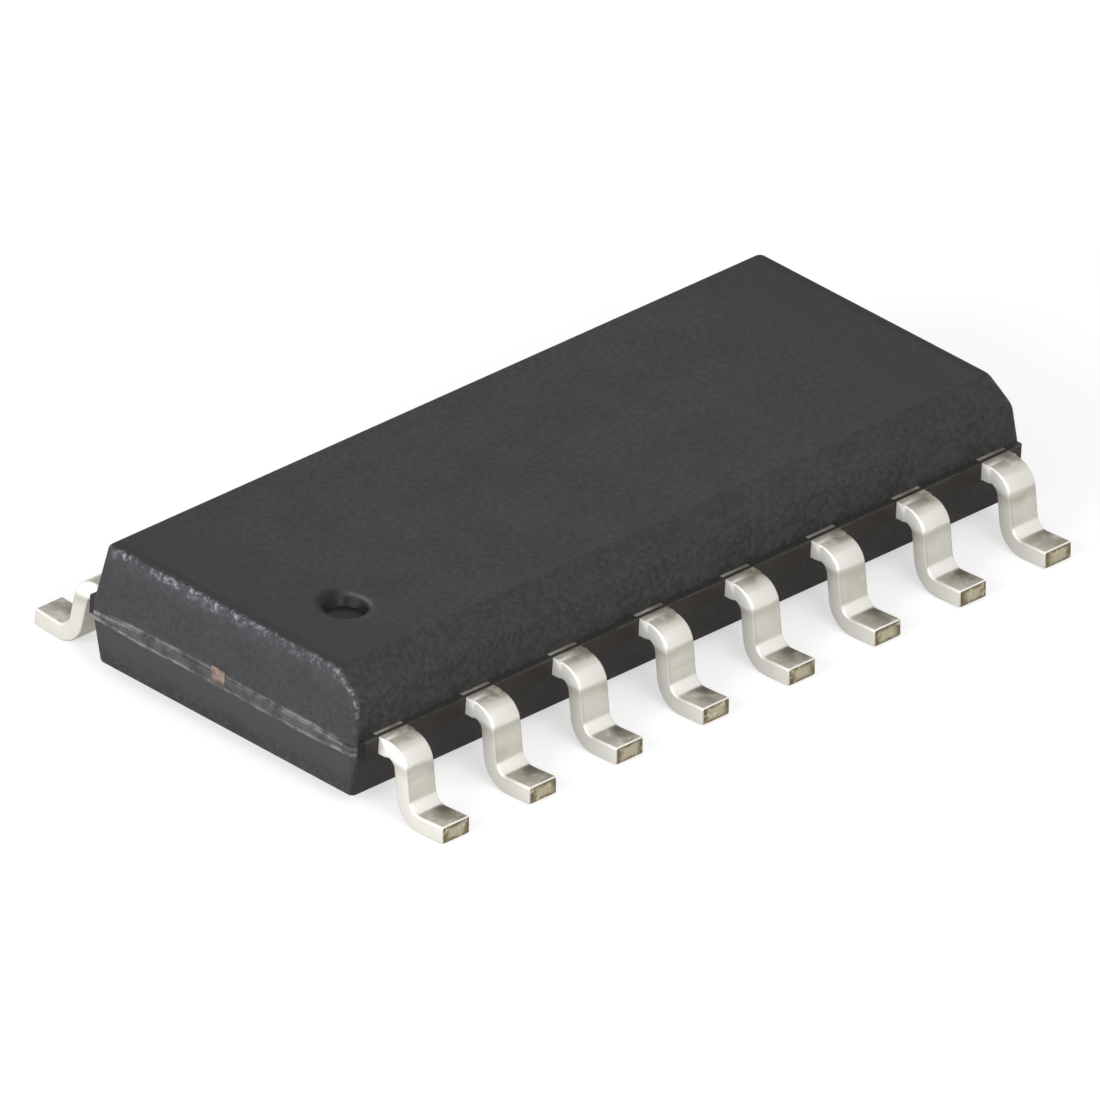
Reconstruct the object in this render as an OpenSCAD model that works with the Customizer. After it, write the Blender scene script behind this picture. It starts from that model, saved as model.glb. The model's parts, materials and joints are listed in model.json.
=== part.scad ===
// Narrow small-outline integrated circuit with sixteen gull-wing leads.
// X runs along the body, the seating plane is z = 0, and pin 1 is at -X, -Y.
// Pins 1 to 8 stand along the -Y side towards +X, and pins 9 to 16 come back along the +Y side.

/* [Moulded body] */
// Length of the body at its parting line
body_l = 9.8; // [9.6:0.05:10.2]
// Width of the body at its parting line
body_w = 3.85; // [3.7:0.05:4.1]
// Air between the underside and the seating plane
standoff = 0.15; // [0.10:0.01:0.25]
// Moulding below the lead frame
lower_h = 0.53; // [0.45:0.005:0.6]
// Moulding above the lead frame
upper_h = 0.67; // [0.6:0.01:0.8]
// Draft of every wall, in degrees
draft = 7.5; // [4:0.5:10]
// Width of the bevel along the pin 1 side, seen from above
bevel_run = 0.32; // [0.2:0.01:0.4]
// Drop of the same bevel
bevel_drop = 0.26; // [0.15:0.01:0.32]
// Softness of the bevel's lower edge
bevel_soft = 0.05; // [0.02:0.01:0.08]
// Rounding of the top edges
edge_r = 0.05; // [0.03:0.01:0.08]
// Rounding of the bottom edges
base_r = 0.03; // [0.02:0.01:0.08]
// Rounding of the upright corners
corner_r = 0.06; // [0.04:0.01:0.15]

/* [Resin ledge] */
// Reach of the ledge between the leads, beyond the wall
ledge_out = 0.09; // [0.08:0.01:0.14]
// Length by which the ledge stops short of the body's ends
ledge_short = 0.04; // [0.02:0.01:0.1]
// Reach of the thin flash on the two ends
end_flash = 0.02; // [0.01:0.01:0.04]
// Thickness of that flash
flash_t = 0.12; // [0.06:0.01:0.14]

/* [Pin 1 mark and ejector marks] */
// Diameter of the pin 1 dimple
dimple_d = 0.48; // [0.3:0.02:0.8]
// Depth of the dimple
dimple_depth = 0.13; // [0.06:0.01:0.2]
// Diameter of the dimple's flat floor
dimple_floor_d = 0.36; // [0.1:0.02:0.8]
// Width of the dished rim round the dimple
dimple_rim = 0.12; // [0.05:0.01:0.15]
// Depth of that rim where it drops into the dimple
dimple_rim_depth = 0.045; // [0.01:0.005:0.05]
// Dimple centre from the pin 1 end
dimple_end = 1.09; // [0.9:0.01:1.4]
// Dimple centre from the pin 1 side
dimple_side = 1.28; // [1.0:0.01:1.5]
// Diameter of the two ejector marks underneath
ejector_d = 1.0; // [0.6:0.1:1.4]
// Depth of the ejector marks
ejector_depth = 0.03; // [0.02:0.01:0.05]
// Distance between the ejector marks
ejector_span = 5.2; // [4:0.1:6]

/* [Leads] */
// Distance from lead to lead
lead_spacing = 1.27; // [1.2:0.01:1.3]
// Distance over the lead tips of both sides
tip_span = 6.0; // [5.8:0.05:6.2]
// Thickness of the lead frame strip
lead_t = 0.20; // [0.15:0.01:0.25]
// Width of a lead outside the body
lead_w = 0.40; // [0.31:0.01:0.5]
// Straight shoulder before the first bend, from the wall
shoulder = 0.22; // [0.14:0.01:0.24]
// Inner radius of the upper bend
bend_top_r = 0.10; // [0.06:0.01:0.14]
// Inner radius of the heel bend
bend_heel_r = 0.15; // [0.1:0.01:0.18]
// Lean of the leg from upright, in degrees
leg_lean = 10; // [4:1:14]
// Rise of the foot towards its tip, in degrees
foot_rise = 4; // [0:0.5:6]
// Depth of the resin-filled locking groove at the ledge
groove_depth = 0.03; // [0.02:0.01:0.05]
// Width of the locking groove
groove_w = 0.045; // [0.03:0.005:0.06]

/* [Lead frame inside] */
// Width of an inner finger
finger_w = 0.28; // [0.2:0.01:0.3]
// Full-width neck of a lead inside the wall
neck = 0.25; // [0.2:0.01:0.3]
// Length of the die paddle
paddle_l = 3.3; // [3.0:0.05:3.5]
// Width of the die paddle
paddle_w = 1.8; // [1.6:0.05:1.9]
// Clear slot between the paddle and the finger tips
paddle_gap = 0.22; // [0.18:0.01:0.3]
// Drop of the paddle below the leads
downset = 0.20; // [0.1:0.01:0.25]
// Length of the slope that makes the drop
downset_run = 0.25; // [0.2:0.01:0.35]
// Width of a tie bar
tie_w = 0.20; // [0.15:0.01:0.22]
// Offset of the tie bars from the middle, away from the pin 1 side
tie_offset = 0.06; // [0:0.01:0.1]

/* [Die and wires] */
// Length of the silicon die
die_l = 2.0; // [1.6:0.05:2.4]
// Width of the silicon die
die_w = 1.4; // [1.2:0.05:1.5]
// Thickness of the silicon die
die_t = 0.28; // [0.2:0.01:0.3]
// Thickness of the die attach layer
attach_t = 0.03; // [0.02:0.01:0.05]
// Spread of the die attach beyond the die
attach_out = 0.08; // [0.04:0.01:0.1]
// Bond pad centres from the die's edge
pad_in = 0.12; // [0.1:0.01:0.2]
// Distance from pad to pad along the die's long side
pad_spacing = 0.44; // [0.3:0.01:0.48]
// Distance from pad to pad along the die's end
pad_spacing_end = 0.28; // [0.2:0.01:0.3]
// Diameter of the bond wire
wire_d = 0.05; // [0.03:0.005:0.06]
// Diameter of the squashed ball on the die
ball_d = 0.10; // [0.08:0.01:0.12]
// Height of the squashed ball
ball_h = 0.035; // [0.03:0.005:0.05]
// Rise of the wire loop above the die
loop_h = 0.17; // [0.12:0.01:0.2]
// Stitch on the finger, from the finger's tip
stitch_in = 0.14; // [0.1:0.01:0.2]
// Width of the wire where it is squashed into the stitch
stitch_w = 0.07; // [0.05:0.005:0.09]

/* [Hidden] */
side_pins = 8;
pins = 2 * side_pins;

// Heights of the underside, the lead frame's two faces, the bevel's lower edge and the top
z_under = standoff;
z_frame = z_under + lower_h;
z_leads = z_frame + lead_t;
z_top = z_leads + upper_h;
z_bevel = z_top - bevel_drop;

// Outermost faces of the end flash, where the tie bars are cut off too
flash_x = body_l / 2 + end_flash;

// Length by which two shapes of one piece run into each other
overlap = 0.1;

// Steps in a rounded corner, a rounded edge and a lead's bend, and sides of a round mark
corner_steps = 4;
edge_steps = 3;
bend_steps = 6;
round_sides = 48;

// Sides of a wire, and steps in the round part of its loop
wire_sides = 8;
wire_steps = 8;

// Heights of the paddle, the attach layer and the die
z_paddle = z_frame - downset;
z_attach = z_paddle + lead_t;
z_die = z_attach + attach_t;
z_pads = z_die + die_t;

// ---- Shapes that several pieces share ----

// Closed solid through a stack of rings, each a list of points in the same turn
module loft(rings) {
    n = len(rings[0]);
    m = len(rings);
    sides = [for (k = [0:m - 2], i = [0:n - 1]) each [
        [k * n + i, (k + 1) * n + i, (k + 1) * n + (i + 1) % n],
        [k * n + i, (k + 1) * n + (i + 1) % n, k * n + (i + 1) % n]
    ]];
    first = [for (i = [0:n - 1]) i];
    last = [for (i = [n - 1:-1:0]) (m - 1) * n + i];
    polyhedron([for (r = rings) each r], concat([first], sides, [last]));
}

// Outline of a rectangle from near to far in y and to both ends in x, with rounded corners
function rounded(end, near, far, r) = [
    for (c = [[end - r, near + r, -90], [end - r, far - r, 0], [r - end, far - r, 90], [r - end, near + r, 180]])
        for (k = [0:corner_steps])
            let (a = c[2] + 90 * k / corner_steps) [c[0] + r * cos(a), c[1] + r * sin(a)]
];

// The same outline lifted to a height
function at_height(outline, z) = [for (p = outline) [p[0], p[1], z]];

function reversed(list) = [for (k = [len(list) - 1:-1:0]) list[k]];
function unit(v) = v / norm(v);
function left_of(v) = [-v[1], v[0]];

// Sideways step at point i of a route, for a strip one unit wide to each side
function mitre(route, i) =
    let (
        before = unit(i == 0 ? route[1] - route[0] : route[i] - route[i - 1]),
        after = i == len(route) - 1 ? before : unit(route[i + 1] - route[i]),
        n = unit(left_of(before) + left_of(after))
    ) n / (n * left_of(before));

// Outline of a strip of even width along a route
function strip(route, w) = concat(
    [for (i = [0:len(route) - 1]) route[i] + mitre(route, i) * w / 2],
    [for (i = [len(route) - 1:-1:0]) route[i] - mitre(route, i) * w / 2]
);

// ---- Moulded body ----

// How far the walls lean in at a height
function draft_in(z) = tan(draft) * (z < z_frame ? z_frame - z : max(0, z - z_leads));

// How far a rounding of radius r takes the wall in, at a depth below the face it runs into
function round_in(r, depth) = let (d = r - min(r, depth)) r - sqrt(r * r - d * d);

// Depths of the steps of such a rounding, from the face down
function round_steps(r) = [for (k = [0:edge_steps]) r * (1 - cos(90 * k / edge_steps))];

// How far the bevel takes the pin 1 side in, with a soft start
function bevel_in(z) =
    let (t = z - z_bevel, slope = bevel_run / bevel_drop)
        t <= -bevel_soft ? 0 : t >= bevel_soft ? slope * t : slope * pow(t + bevel_soft, 2) / (4 * bevel_soft);

// One ring of the moulding
function body_ring(z) =
    let (
        lean = draft_in(z),
        edge_in = round_in(base_r, z - z_under) + round_in(edge_r, z_top - z),
        near = -body_w / 2 + lean + (z > z_frame ? bevel_in(z) : edge_in)
    ) at_height(rounded(body_l / 2 - lean - edge_in, near, body_w / 2 - lean - edge_in, corner_r), z);

body_levels = concat(
    [for (d = round_steps(base_r)) z_under + d],
    [z_frame, z_leads],
    [for (k = [-2:2]) z_bevel + bevel_soft * k / 2],
    [for (d = reversed(round_steps(edge_r))) z_top - d]
);

// Drafted block with the bevel along the pin 1 side
module moulding() {
    loft([for (z = body_levels) body_ring(z)]);
}

// Resin left at lead height between the leads and past the end ones, and the flash on the ends
module ledge() {
    y = body_w / 2;
    end = max(body_l / 2 - ledge_short, column_x(1) + lead_w / 2 + base_r);
    translate([0, 0, z_frame]) {
        linear_extrude(lead_t) polygon(rounded(end, -y - ledge_out, y + ledge_out, base_r));
        linear_extrude(flash_t) polygon(rounded(flash_x, -y + base_r, y - base_r, base_r));
    }
}

// Round dimple with a dished rim, cut from above
module dimple() {
    r = dimple_d / 2;
    floor_r = min(dimple_floor_d / 2, r);
    translate([dimple_end - body_l / 2, dimple_side - body_w / 2, z_top])
        rotate_extrude($fn = round_sides)
            polygon([
                [0, -dimple_depth], [floor_r, -dimple_depth], [r, -dimple_rim_depth],
                [r + dimple_rim, 0], [r + dimple_rim, overlap], [0, overlap]
            ]);
}

// Shallow marks of the two ejector pins, cut from below
module ejector_marks() {
    for (side = [-1, 1])
        translate([side * ejector_span / 2, 0, z_under - overlap])
            cylinder(d = ejector_d, h = overlap + ejector_depth, $fn = round_sides);
}

module body() {
    color("#3f3e3d")
        difference() {
            union() {
                moulding();
                ledge();
            }
            dimple();
            ejector_marks();
            die_paddle();
            die_attach();
            die();
            for (i = [1:pins]) {
                lead(i);
                bond_wire(i);
            }
        }
}

// ---- Leads ----

// Middle line of a lead as it leaves the wall: [out from the wall, height], with its bends
mid_top_r = bend_top_r + lead_t / 2;
mid_heel_r = bend_heel_r + lead_t / 2;
z_mid = z_frame + lead_t / 2;
leg_turn = 90 - leg_lean;

// Drop of the straight leg that sets the heel on the seating plane
leg_l = (z_mid - mid_top_r * (1 - cos(leg_turn)) + mid_heel_r * cos(leg_turn) - mid_heel_r - lead_t / 2)
    / sin(leg_turn);
heel_x = shoulder + (mid_top_r + mid_heel_r) * sin(leg_turn) + leg_l * cos(leg_turn);
tip_x = (tip_span - body_w) / 2;

// Centres of the two bends
top_centre = [shoulder, z_mid - mid_top_r];
heel_centre = [heel_x, mid_heel_r + lead_t / 2];

// Points of one face of the strip, side +1 above and -1 below
function bends(side) = concat(
    [for (k = [0:bend_steps])
        let (a = leg_turn * k / bend_steps)
            top_centre + (mid_top_r + side * lead_t / 2) * [sin(a), cos(a)]],
    [for (a = concat([for (k = [bend_steps:-1:0]) leg_turn * k / bend_steps], [-foot_rise]))
        heel_centre - (mid_heel_r - side * lead_t / 2) * [sin(a), cos(a)]]
);

// Tip corner of a face: the foot runs on along its rise until the tip's lower corner is at tip_x
function tip(side) =
    let (
        along = [cos(foot_rise), sin(foot_rise)],
        up = [-sin(foot_rise), cos(foot_rise)],
        mid = heel_centre - mid_heel_r * up,
        run = (tip_x - mid[0] - lead_t / 2 * sin(foot_rise)) / along[0]
    ) mid + along * run + up * side * lead_t / 2;

// Side view of a lead, from the end of its neck inside the body to the tip
function lead_profile() = concat(
    [[-neck, z_frame], [-neck, z_leads]],
    [[ledge_out - groove_w, z_leads], [ledge_out - groove_w, z_leads - groove_depth]],
    [[ledge_out, z_leads - groove_depth], [ledge_out, z_leads]],
    bends(1),
    [tip(1), tip(-1)],
    reversed(bends(-1))
);

// Routes of the inner fingers in one quarter, from the neck to the tip, outermost lead first
neck_y = body_w / 2 - neck;
tip_long_y = paddle_w / 2 + paddle_gap;
tip_end_x = paddle_l / 2 + paddle_gap;
inner_tip_y = tie_offset + tie_w / 2 + paddle_gap / 2 + finger_w / 2;

function column_x(c) = (side_pins / 2 + 0.5 - c) * lead_spacing;

function finger_route(c) = concat(
    [[column_x(c), neck_y + overlap], [column_x(c), neck_y]],
    c == 1 ? [[column_x(1) - lead_spacing, inner_tip_y + finger_w / 3], [tip_end_x, inner_tip_y]]
    : c == 2 ? [[tip_end_x, paddle_w / 2 - finger_w / 2]]
    : c == 3 ? [[paddle_l / 2 - finger_w, tip_long_y]]
    : [[column_x(4) - finger_w / 2, tip_long_y]]
);

// Column of a pin counted from the nearer end, and the pin's end of the body
function column(i) = min(i, side_pins + 1 - i);
function end_of(i) = i <= side_pins / 2 ? -1 : 1;

// A finger route turned to pin i of the -Y side
function pin_route(i) = [for (p = finger_route(column(i))) [end_of(i) * p[0], -p[1]]];

module near_lead(i) {
    translate([end_of(i) * column_x(column(i)), -body_w / 2, 0])
        rotate([90, 0, -90])
            linear_extrude(lead_w, center = true) polygon(lead_profile());
    translate([0, 0, z_frame])
        linear_extrude(lead_t) polygon(strip(pin_route(i), finger_w));
}

// Leads of the +Y side are those of the -Y side turned half round
module lead(i) {
    color("#cfcdc5")
        if (i <= side_pins) near_lead(i);
        else rotate(180) near_lead(i - side_pins);
}

// ---- Die paddle with its tie bars ----

// Side view of one tie bar, from the paddle down in the body to the cut end in the flash
function tie_profile() = [
    [paddle_l / 2 - overlap, z_paddle],
    [paddle_l / 2, z_paddle],
    [paddle_l / 2 + downset_run, z_frame],
    [flash_x, z_frame],
    [flash_x, z_leads],
    [paddle_l / 2 + downset_run, z_leads],
    [paddle_l / 2, z_attach],
    [paddle_l / 2 - overlap, z_attach]
];

module die_paddle() {
    color("#b87f5e") {
        translate([0, 0, z_paddle])
            linear_extrude(lead_t) polygon(rounded(paddle_l / 2, -paddle_w / 2, paddle_w / 2, corner_r));
        for (turn = [0, 180])
            translate([0, tie_offset, 0])
                rotate([90, 0, turn])
                    linear_extrude(tie_w, center = true) polygon(tie_profile());
    }
}

// ---- Die and its attach ----

module die_attach() {
    x = die_l / 2;
    y = die_w / 2;
    color("#b9b7ae")
        loft([
            at_height(rounded(x + attach_out, -y - attach_out, y + attach_out, corner_r), z_attach),
            at_height(rounded(x + attach_out / 2, -y - attach_out / 2, y + attach_out / 2, corner_r / 2), z_die)
        ]);
}

module die() {
    color("#5a6068")
        translate([-die_l / 2, -die_w / 2, z_die]) cube([die_l, die_w, die_t]);
}

// ---- Bond wires ----

// Bond pad of a column in one quarter: columns 1 and 2 along the die's end, 3 and 4 along its side
function pad_at(c) =
    c <= 2 ? [die_l / 2 - pad_in, (c - 0.5) * pad_spacing_end]
    : [(4.5 - c) * pad_spacing, die_w / 2 - pad_in];

function pin_pad(i) = let (p = pad_at(column(i))) [end_of(i) * p[0], -p[1]];

// Stitch point on a finger, back from its tip
function pin_stitch(i) =
    let (route = pin_route(i), n = len(route) - 1)
        route[n] + stitch_in * unit(route[n - 1] - route[n]);

// Point on the loop of the wire, as [along, height], and its direction
function cubic(p, s) =
    pow(1 - s, 3) * p[0] + 3 * s * pow(1 - s, 2) * p[1] + 3 * s * s * (1 - s) * p[2] + pow(s, 3) * p[3];
function cubic_way(p, s) =
    unit(pow(1 - s, 2) * (p[1] - p[0]) + 2 * s * (1 - s) * (p[2] - p[1]) + s * s * (p[3] - p[2]));

// Ring of the wire at [along, height], with its half width and half depth, facing the way given
function wire_ring(start, plan, at, way, half_w, half_d) = [
    for (k = [0:wire_sides - 1])
        let (
            a = 360 * (k + 0.5) / wire_sides,
            along = at[0] - half_d * sin(a) * way[1],
            z = at[1] + half_d * sin(a) * way[0],
            side = half_w * cos(a) * left_of(plan)
        ) [start[0] + along * plan[0] + side[0], start[1] + along * plan[1] + side[1], z]
];

module near_wire(i) {
    start = pin_pad(i);
    reach = norm(pin_stitch(i) - start);
    plan = unit(pin_stitch(i) - start);
    r = wire_d / 2;
    ball = ball_d / 2;
    neck_z = z_pads + ball_h + r;
    curve = [[0, neck_z], [0, neck_z + loop_h], [reach / 2, neck_z + loop_h], [reach, z_leads]];
    landing = cubic_way(curve, 1);
    up = [0, 1];
    loft(concat(
        [for (z = [z_pads, z_pads + ball_h]) wire_ring(start, plan, [0, z], up, ball, ball)],
        [for (k = [0:wire_steps])
            let (s = k / (wire_steps + 1))
                wire_ring(start, plan, cubic(curve, s), cubic_way(curve, s), r, r)],
        [wire_ring(start, plan, [reach, z_leads], -up, stitch_w / 2, r / -landing[1])]
    ));
}

// Gold wire with its squashed ball on the die and its stitch on the finger
module bond_wire(i) {
    color("#d8b25a")
        if (i <= side_pins) near_wire(i);
        else rotate(180) near_wire(i - side_pins);
}

body();
die_paddle();
die_attach();
die();
for (i = [1:pins]) {
    lead(i);
    bond_wire(i);
}
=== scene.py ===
"""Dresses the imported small-outline chip: its moulding, its leads, what is inside, and the stage."""

import json
import math

import bpy
import bmesh
from bpy.props import FloatProperty, FloatVectorProperty, IntProperty, PointerProperty
from mathutils import Matrix, Vector

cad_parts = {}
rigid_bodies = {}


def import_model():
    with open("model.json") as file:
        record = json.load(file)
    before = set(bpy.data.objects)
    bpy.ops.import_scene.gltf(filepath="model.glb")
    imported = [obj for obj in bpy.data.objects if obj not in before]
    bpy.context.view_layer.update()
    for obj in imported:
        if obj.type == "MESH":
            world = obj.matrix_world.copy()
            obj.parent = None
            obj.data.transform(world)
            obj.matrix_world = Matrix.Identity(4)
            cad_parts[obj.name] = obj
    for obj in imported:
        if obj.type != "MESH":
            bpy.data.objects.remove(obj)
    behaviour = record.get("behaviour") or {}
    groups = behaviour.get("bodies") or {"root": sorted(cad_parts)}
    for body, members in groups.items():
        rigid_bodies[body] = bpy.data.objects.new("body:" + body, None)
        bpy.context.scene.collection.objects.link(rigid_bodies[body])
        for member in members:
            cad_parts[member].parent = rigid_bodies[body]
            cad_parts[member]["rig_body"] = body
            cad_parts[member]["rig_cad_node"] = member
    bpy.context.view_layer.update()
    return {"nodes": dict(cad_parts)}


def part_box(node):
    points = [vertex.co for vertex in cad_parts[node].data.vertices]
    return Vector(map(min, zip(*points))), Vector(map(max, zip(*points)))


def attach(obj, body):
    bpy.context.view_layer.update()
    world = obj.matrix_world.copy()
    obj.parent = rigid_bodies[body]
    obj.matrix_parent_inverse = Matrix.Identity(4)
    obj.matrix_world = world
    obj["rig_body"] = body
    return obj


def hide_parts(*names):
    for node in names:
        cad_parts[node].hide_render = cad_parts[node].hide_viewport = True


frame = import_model()

bl_info = {
    "name": "Small-outline chip",
    "version": (1, 0, 0),
    "blender": (4, 5, 0),
    "location": "View3D > Sidebar > Chip",
    "description": "Models the leads, finishes the moulding and the inside, and sets the stage",
    "category": "Object",
}

MM = 0.001
SIDE_PINS = 8
PINS = 2 * SIDE_PINS


def linear(colour):
    """An sRGB hex colour as linear red, green, blue and alpha."""
    channels = [int(colour[k : k + 2], 16) / 255 for k in (1, 3, 5)]
    return tuple(c / 12.92 if c < 0.04045 else ((c + 0.055) / 1.055) ** 2.4 for c in channels) + (1.0,)


# ---- Settings ----


def length(name, description, default_mm):
    return FloatProperty(
        name=name, description=description, default=default_mm * MM, min=0, precision=6, subtype="DISTANCE", unit="LENGTH"
    )


def colour(name, description, default):
    return FloatVectorProperty(
        name=name, description=description, default=linear(default), size=4, min=0, max=1, subtype="COLOR"
    )


class MouldingSettings(bpy.types.PropertyGroup):
    wall: length("Wall", "Middle of the chip to the wall at the lead frame", 1.925)
    end: length("End", "Middle of the chip to the end face at the lead frame", 4.9)
    draft: FloatProperty(name="Draft", description="Lean of the walls", default=math.radians(7.5), subtype="ANGLE")
    smooth: FloatProperty(
        name="Smooth below", description="Edges flatter than this are shaded round", default=math.radians(32), subtype="ANGLE"
    )
    dimple: length("Dimple", "Radius of the pin 1 dimple", 0.24)
    resin: colour("Resin", "Epoxy moulding compound between its filler grains", "#272626")
    # Also painted on the ledge's top as painted fill light
    filler: colour("Filler", "Silica filler grains that show through the skin", "#403f3c")
    filler_cold: colour("Cold filler", "The same grains where the skin is rubbed bluish", "#3d3d40")
    # Also painted on the bevel and the lower half of the end faces as painted light
    rubbed: colour("Rubbed", "Skin of the end faces, dulled by rubbing in the tube", "#3d3d3f")
    # Also painted as highlights on the ledge's top edge and on the dimple's rim
    scuff_and_highlight: colour("Scuff", "Bruised resin along the worn edges", "#b4b6c2")
    flash: colour("Flash", "Broken, powdery edge of the thin flash", "#9b9b9b")
    # Painted shade on the ledge between the leads, which is glossier resin
    ledge: colour("Ledge", "Glossier resin squeezed out between the leads", "#292520")
    # Painted shade on the walls under the ledge
    shaded: colour("Lower walls", "Cleaner, browner resin under the ledge", "#211d18")
    # Painted shade for the dimple and its rim, the top edge's rounding and the ledge's ends
    painted_shade: colour("Pit", "Polished resin down in the dimple", "#121111")


class LeadSettings(bpy.types.PropertyGroup):
    pitch: length("Pitch", "Distance from lead to lead", 1.27)
    span: length("Span", "Distance over the lead tips of both sides", 6.0)
    width: length("Width", "Width of a lead outside the moulding", 0.40)
    neck: length("Neck", "Full-width length inside the wall", 0.25)
    shoulder: length("Shoulder", "Straight length from the wall to the first bend", 0.22)
    top_radius: length("Top radius", "Inner radius of the upper bend", 0.10)
    heel_radius: length("Heel radius", "Inner radius of the heel bend", 0.15)
    lean: FloatProperty(name="Lean", description="Lean of the leg from upright", default=math.radians(10), subtype="ANGLE")
    rise: FloatProperty(name="Rise", description="Rise of the foot to its tip", default=math.radians(4), subtype="ANGLE")
    ledge: length("Ledge", "Reach of the resin ledge along the lead", 0.09)
    groove_width: length("Groove width", "Width of the locking groove at the ledge's edge", 0.045)
    groove_depth: length("Groove depth", "Depth of the locking groove", 0.03)
    edge: length("Edge", "Rolled edge that the stamping punch leaves", 0.027)
    bend_steps: IntProperty(name="Bend steps", description="Steps in each bend", default=10, min=3)
    finger: length("Finger", "Width of the finger inside the moulding", 0.28)
    tin: colour("Tin", "Matte tin plate", "#cbc8bd")
    side: colour("Side", "Tin on the smooth stamped sides", "#cfcdc5")
    # Painted reflection of the dark moulding on the upward faces
    upward_painted_reflection: colour("Pressed", "Tin dulled where the forming punch pressed", "#8c8678")
    tip: colour("Cut tip", "Copper alloy bared where the tip was cut off", "#aba58c")


class StageSettings(bpy.types.PropertyGroup):
    floor: length("Floor", "Side of the square floor", 240)
    lamp_power: FloatProperty(name="Lamp power", description="Power of the large soft lamp", default=0.03, unit="POWER")
    sky: FloatProperty(name="Sky", description="Strength of the even light from all round", default=0.48)
    lens: length("Lens", "Focal length of the camera", 1327.83)


# ---- Small tools for meshes and nodes ----


def select_only(*objects):
    """Leaves just these objects selected, the first of them active."""
    bpy.ops.object.select_all(action="DESELECT")
    for o in objects:
        o.select_set(True)
    bpy.context.view_layer.objects.active = objects[0]


def pick(piece, kind, wanted):
    """In edit mode, selects only the faces or edges that pass a test on the place and the element itself."""
    bpy.ops.mesh.select_all(action="DESELECT")
    bpy.ops.mesh.select_mode(type=kind)
    mesh = bmesh.from_edit_mesh(piece.data)
    found = 0
    for e in mesh.faces if kind == "FACE" else mesh.edges:
        if wanted(e):
            e.select_set(True)
            found += 1
    bmesh.update_edit_mesh(piece.data)
    if not found:
        raise RuntimeError(f"nothing to select on {piece.name}")
    return found


def middle(element):
    return sum((v.co for v in element.verts), Vector()) / len(element.verts)


def apply_place(piece):
    """Puts the object's place into its mesh, as a CAD node has it."""
    select_only(piece)
    bpy.ops.object.transform_apply(location=True, rotation=True, scale=True)


def weigh_normals(piece):
    """Lets the large flat faces rule the shading, so that only the small radii look round."""
    select_only(piece)
    bpy.ops.object.modifier_add(type="WEIGHTED_NORMAL")
    weigh = piece.modifiers[-1]
    weigh.keep_sharp = True
    weigh.weight = 100
    bpy.ops.object.modifier_apply(modifier=weigh.name)


def finish_piece(piece, node, slot, *materials):
    """Rides a finished piece on the chip's one body in place of its CAD node."""
    piece.data.materials.clear()
    for m in materials:
        piece.data.materials.append(m)
    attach(piece, "root")
    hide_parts(node)


def new_material(name):
    """A material with its node tree emptied, and its output node."""
    material = bpy.data.materials.new(name)
    material.use_nodes = True
    material.node_tree.nodes.clear()
    return material, material.node_tree, material.node_tree.nodes.new("ShaderNodeOutputMaterial")


def add(tree, kind, settings=None, **inputs):
    """Adds a node; settings are its own options, inputs are socket values or the sockets to link."""
    node = tree.nodes.new("ShaderNode" + kind)
    for key, value in (settings or {}).items():
        setattr(node, key, value)
    for key, value in inputs.items():
        socket = node.inputs[int(key[1:])] if key[1:].isdigit() else node.inputs[key.replace("_", " ")]
        if isinstance(value, bpy.types.NodeSocket):
            tree.links.new(value, socket)
        else:
            socket.default_value = value
    return node


def maths(tree, operation, *values, clamp=False):
    """A Math node on numbers or sockets, and its result."""
    inputs = {f"i{k}": v for k, v in enumerate(values)}
    return add(tree, "Math", {"operation": operation, "use_clamp": clamp}, **inputs).outputs[0]


def millimetres(tree):
    """Object coordinates in millimetres, and apart as x, y and z."""
    place = add(tree, "TexCoord").outputs["Object"]
    scaled = add(tree, "VectorMath", {"operation": "SCALE"}, i0=place, Scale=1 / MM).outputs[0]
    apart = add(tree, "SeparateXYZ", i0=scaled)
    return scaled, apart.outputs["X"], apart.outputs["Y"], apart.outputs["Z"]


def ramp(tree, value, low, high):
    """0 below low, 1 above high and a soft step between; high may be the smaller."""
    return add(
        tree, "MapRange", {"interpolation_type": "SMOOTHSTEP"}, Value=value, From_Min=low, From_Max=high, To_Min=0.0, To_Max=1.0
    ).outputs[0]


def grain(tree, place, per_mm, detail=2.0, rough=0.5):
    """Noise with so many grains to the millimetre."""
    return add(tree, "TexNoise", Vector=place, Scale=per_mm, Detail=detail, Roughness=rough).outputs[0]


def blend(tree, factor, low, high):
    """A colour between two, which may be colours or sockets."""
    return add(tree, "Mix", {"data_type": "RGBA"}, i0=factor, i6=low, i7=high).outputs[2]


# ---- Materials ----


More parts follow.
